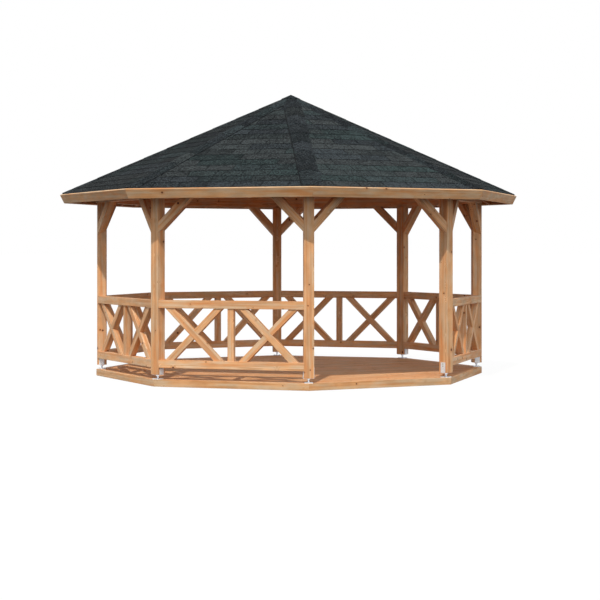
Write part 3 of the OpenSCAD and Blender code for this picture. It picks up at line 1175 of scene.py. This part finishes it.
# %% Plate, stem and nut
PLATE = 0.100
PLATE_THICKNESS = 0.008
PLATE_CORNER = 0.006
PLATE_EDGE = 0.001
STEM = 0.024
STEM_SIDES = 16
THREAD = 0.003
NUT = 0.042
NUT_HEIGHT = 0.014
NUT_EDGE = 0.0012


def turned(profile, segments):
    """A closed shape that is spun from its edge: points of radius and height, from axis to axis."""
    bm = bmesh.new()
    verts = [bm.verts.new((r, 0, z)) for r, z in profile]
    edges = [bm.edges.new(pair) for pair in zip(verts, verts[1:])]
    bmesh.ops.spin(
        bm, geom=verts + edges, cent=(0, 0, 0), axis=(0, 0, 1),
        angle=tau, steps=segments, use_merge=True,
    )
    bmesh.ops.remove_doubles(bm, verts=bm.verts, dist=SAME_PLACE)
    bmesh.ops.recalc_face_normals(bm, faces=bm.faces)
    return bm


def base_plate():
    lie = shift(post_reach, 0, deck_top + PLATE_THICKNESS / 2)
    bm = block(PLATE, PLATE, PLATE_THICKNESS, lie)
    upright = [e for e in bm.edges if e.verts[0].co.xy == e.verts[1].co.xy]
    soften(bm, upright, PLATE_CORNER, segments=3)
    on_top = [e for e in bm.edges if min(v.co.z for v in e.verts) > lie.translation.z]
    soften(bm, on_top, PLATE_EDGE, segments=1)
    return bm


def stem(low, high):
    core = STEM / 2 - THREAD / 2
    profile = [(0, low), (core, low)]
    turns = int((high - low) / THREAD)
    for k in range(turns):
        profile += [(STEM / 2, low + (k + 0.5) * THREAD), (core, low + (k + 1) * THREAD)]
    profile += [(core, high), (0, high)]
    bm = turned(profile, STEM_SIDES)
    mark(bm, polish=1)
    bm.transform(shift(post_reach, 0, 0))
    return bm


def nut(high):
    bm = bmesh.new()
    lie = shift(post_reach, 0, high - NUT_HEIGHT / 2)
    bmesh.ops.create_cone(
        bm, cap_ends=True, segments=6, radius1=NUT / 2, radius2=NUT / 2, depth=NUT_HEIGHT, matrix=lie
    )
    soften(bm, bm.edges[:], NUT_EDGE, segments=1)
    mark(bm, polish=1)
    return bm


print("plate, stem and nut are ready")

# %% Post shoes
STRAP = 0.005
STRAP_WIDTH = 0.066
STRAP_HEIGHT = 0.125


def cradle(low):
    """A strap that is bent up on both sides of the post, seen from its edge and pulled out to its width."""
    inner = post_width / 2
    outer = inner + STRAP
    height = STRAP + STRAP_HEIGHT
    outline = [
        (-outer, 0), (outer, 0), (outer, height), (inner, height),
        (inner, STRAP), (-inner, STRAP), (-inner, height), (-outer, height),
    ]
    facing = shift(post_reach, 0, low) @ ACROSS @ SIDEWAYS
    bm = pulled(outline, STRAP_WIDTH, Matrix())
    bends = [e for e in bm.edges if e.verts[0].co.xy == e.verts[1].co.xy and e.verts[0].co.y == 0]
    soften(bm, bends, STRAP, segments=3)
    bm.transform(facing)
    return bm


cradle_low = post_low.z - STRAP
for i in SIDES:
    piece = Piece(f"shoe_steel_{i}")
    piece.add(base_plate(), corner(i))
    piece.add(stem(deck_top + PLATE_THICKNESS, cradle_low), corner(i))
    piece.add(nut(cradle_low), corner(i))
    piece.add(cradle(cradle_low), corner(i))
    piece.done(SHOE_ZINC, "galvanised_steel", f"post_shoe_{i}")

# %% [markdown]
# Screws hold it all together. There are hundreds of them, so each has only a few faces: a disc that is
# pulled up, inset and pushed in again, which leaves a rim and a socket. They go where a carpenter drives
# them: two for each joist in every floor board, four through each base plate, two through each side of a
# cradle, one above the other, and two from below into each brace.

# %% Screws of the floor
SCREW_SIDES = 10
SOCKET = 0.5
SOCKET_DEPTH = 0.8
FLOOR_SCREW = {"radius": 0.005, "rise": 0.0012}
FLOOR_SCREW_SUNK = 0.0004
SCREW_ASIDE = 0.035
SCREW_MARGIN = 0.03


def screw(lie, radius, rise):
    """A screw head on XY of lie, with its top along +Z."""
    bm = bmesh.new()
    bmesh.ops.create_circle(bm, cap_ends=True, segments=SCREW_SIDES, radius=radius)
    made = bmesh.ops.extrude_face_region(bm, geom=bm.faces[:])
    head = [f for f in made["geom"] if isinstance(f, bmesh.types.BMFace)]
    bmesh.ops.translate(bm, vec=(0, 0, rise), verts=head[0].verts)
    bmesh.ops.inset_region(bm, faces=head, thickness=radius * SOCKET, depth=0)
    bmesh.ops.translate(bm, vec=(0, 0, -rise * SOCKET_DEPTH), verts=head[0].verts)
    bmesh.ops.recalc_face_normals(bm, faces=bm.faces)
    bm.transform(lie)
    return bm


piece = Piece("floor_screws")
inside = floor_high.x - SCREW_MARGIN
for y in board_rows:
    for x in joist_rows:
        for aside in (-SCREW_ASIDE, SCREW_ASIDE):
            place = Vector((x, y + aside, deck_top - FLOOR_SCREW_SUNK))
            if all(place.xy @ normal.xy < inside for point, normal in inside_rim):
                piece.add(screw(Matrix.Translation(place), **FLOOR_SCREW))
piece.done(SCREW_ZINC, "galvanised_steel")

# %% Screws of shoes and braces
SHOE_SCREW = {"radius": 0.0065, "rise": 0.003}
BRACE_SCREW = {"radius": 0.006, "rise": 0.0012}
PLATE_HOLE = 0.036
CRADLE_HOLES = (0.014, 0.042)
BRACE_HOLE = 0.030

piece = Piece("shoe_screws")
for i in SIDES:
    for x, below_top in zip((-1, 1), CRADLE_HOLES):
        for y in (-1, 1):
            on_plate = shift(post_reach + x * PLATE_HOLE, y * PLATE_HOLE, deck_top + PLATE_THICKNESS)
            piece.add(screw(on_plate, **SHOE_SCREW), corner(i))
            on_side = shift(post_reach, y * (post_width / 2 + STRAP), cradle_low + STRAP_HEIGHT - below_top)
            outwards = Matrix.Rotation(y * radians(-90), 4, "X")
            piece.add(screw(on_side @ outwards, **SHOE_SCREW), corner(i))
piece.done(SCREW_ZINC, "galvanised_steel")

piece = Piece("brace_screws")
for i in SIDES:
    for hand in (-1, 1):
        for along in (BRACE_HOLE, brace_length - BRACE_HOLE):
            under = brace_lie(hand) @ shift(-hand * along, 0, -BRACE / 2) @ Matrix.Rotation(pi, 4, "X")
            piece.add(screw(under, **BRACE_SCREW), side(i))
piece.done(SCREW_ZINC, "galvanised_steel")

# %% [markdown]
# The last cell measures the frame and the dressed gazebo and writes both boxes down. Only the layers of
# felt at the tip reach beyond the frame. The dressed gazebo may not be bigger than the frame says, apart
# from the layers of felt at its tip.

# %% Measure and finish
measured = {"cad": cad_box, "visual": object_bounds()}
{name: [list(low), list(high)] for name, (low, high) in measured.items()}
for name, (low, high) in measured.items():
    print(name, [round(x, 4) for x in high - low])
